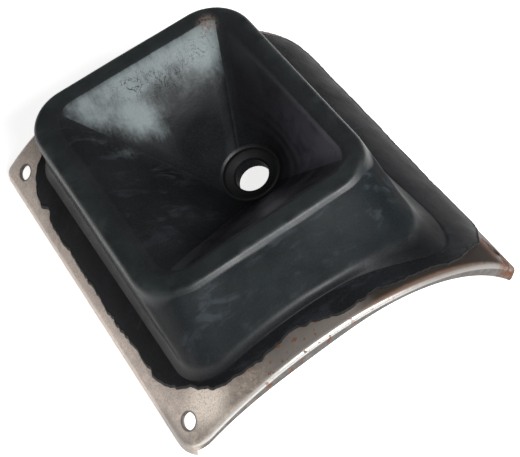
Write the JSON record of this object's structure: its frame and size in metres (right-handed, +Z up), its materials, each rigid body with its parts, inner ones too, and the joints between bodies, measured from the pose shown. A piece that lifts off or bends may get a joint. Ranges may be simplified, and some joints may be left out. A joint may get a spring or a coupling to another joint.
{
  "type": "gear lever boot",
  "caption": "Rubber gear lever boot bonded to an arched steel cover plate, with a funnel running down to a collar that grips the lever.",
  "frame": {"origin": "under the middle of the plate, on the plane of the side flanges' lower edges", "axes": "+Z up, Y along the tunnel the plate sits on, +X towards the side the funnel leans away from"},
  "size_m": [0.1574, 0.1616, 0.0653],
  "materials": {
    "steel": "worn satin",
    "rubber": "satin"
  },
  "bodies": {
    "boot": {"steel_plate": "steel", "rubber_skirt": "rubber", "boot_pedestal": "rubber", "boot_wall": "rubber", "rim_bead": "rubber", "funnel_upper": "rubber"},
    "funnel_ring": {"funnel_lower": "rubber"},
    "collar": {"lever_collar": "rubber"}
  },
  "joints": [
    {"name": "fore_aft", "type": "hinge", "parent": "boot", "child": "funnel_ring", "pos_m": [0.02073, 0.006, -0.01819], "axis": [1, 0, 0], "range_deg": [-10, 10], "stiffness_Nm_per_rad": 0.5, "deforming": ["funnel_upper"]},
    {"name": "side_swing", "type": "hinge", "parent": "funnel_ring", "child": "collar", "pos_m": [0.02073, 0.006, -0.01819], "axis": [0, 1, 0], "range_deg": [-7, 7], "stiffness_Nm_per_rad": 0.5, "deforming": ["funnel_lower"]}
  ]
}
